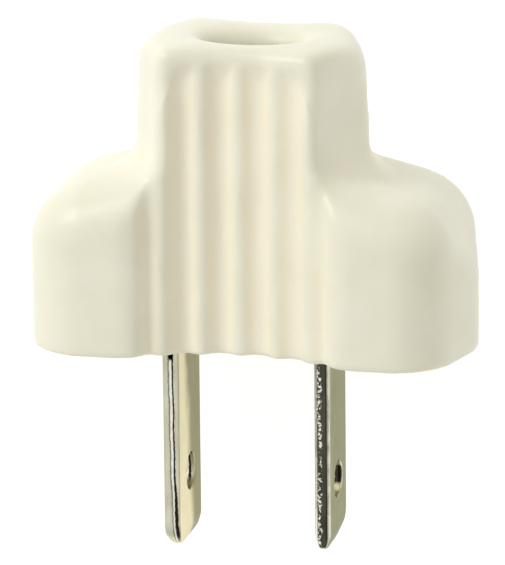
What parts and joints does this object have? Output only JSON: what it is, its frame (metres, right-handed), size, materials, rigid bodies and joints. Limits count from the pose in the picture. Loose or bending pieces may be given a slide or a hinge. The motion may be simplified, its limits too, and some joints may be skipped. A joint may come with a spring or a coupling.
{
  "type": "polarized plug",
  "caption": "T-shaped polarized plug for flat lamp cord, with folded blades, a fluted thumb hollow and an oval cord entry",
  "frame": {"origin": "centre of the plug's footprint as it lies on its back, on the surface it lies on", "axes": "+X across the blades from the wide blade to the narrow one, +Y from the blade tips to the cord entry, +Z from back to front"},
  "size_m": [0.038, 0.0442, 0.0172],
  "materials": {
    "ivory_plastic": "satin moulded ivory",
    "core_plastic": "plain moulded ivory",
    "plated_brass": "nickel-plated rolled strip, a little worn"
  },
  "bodies": {
    "housing_body": {"housing": "ivory_plastic"},
    "core_body": {"core": "core_plastic", "neutral_blade": "plated_brass", "line_blade": "plated_brass"}
  },
  "joints": [
    {"name": "core_slide", "type": "slide", "parent": "housing_body", "child": "core_body", "axis": [0, -1, 0], "range_m": [0, 0.016]}
  ]
}
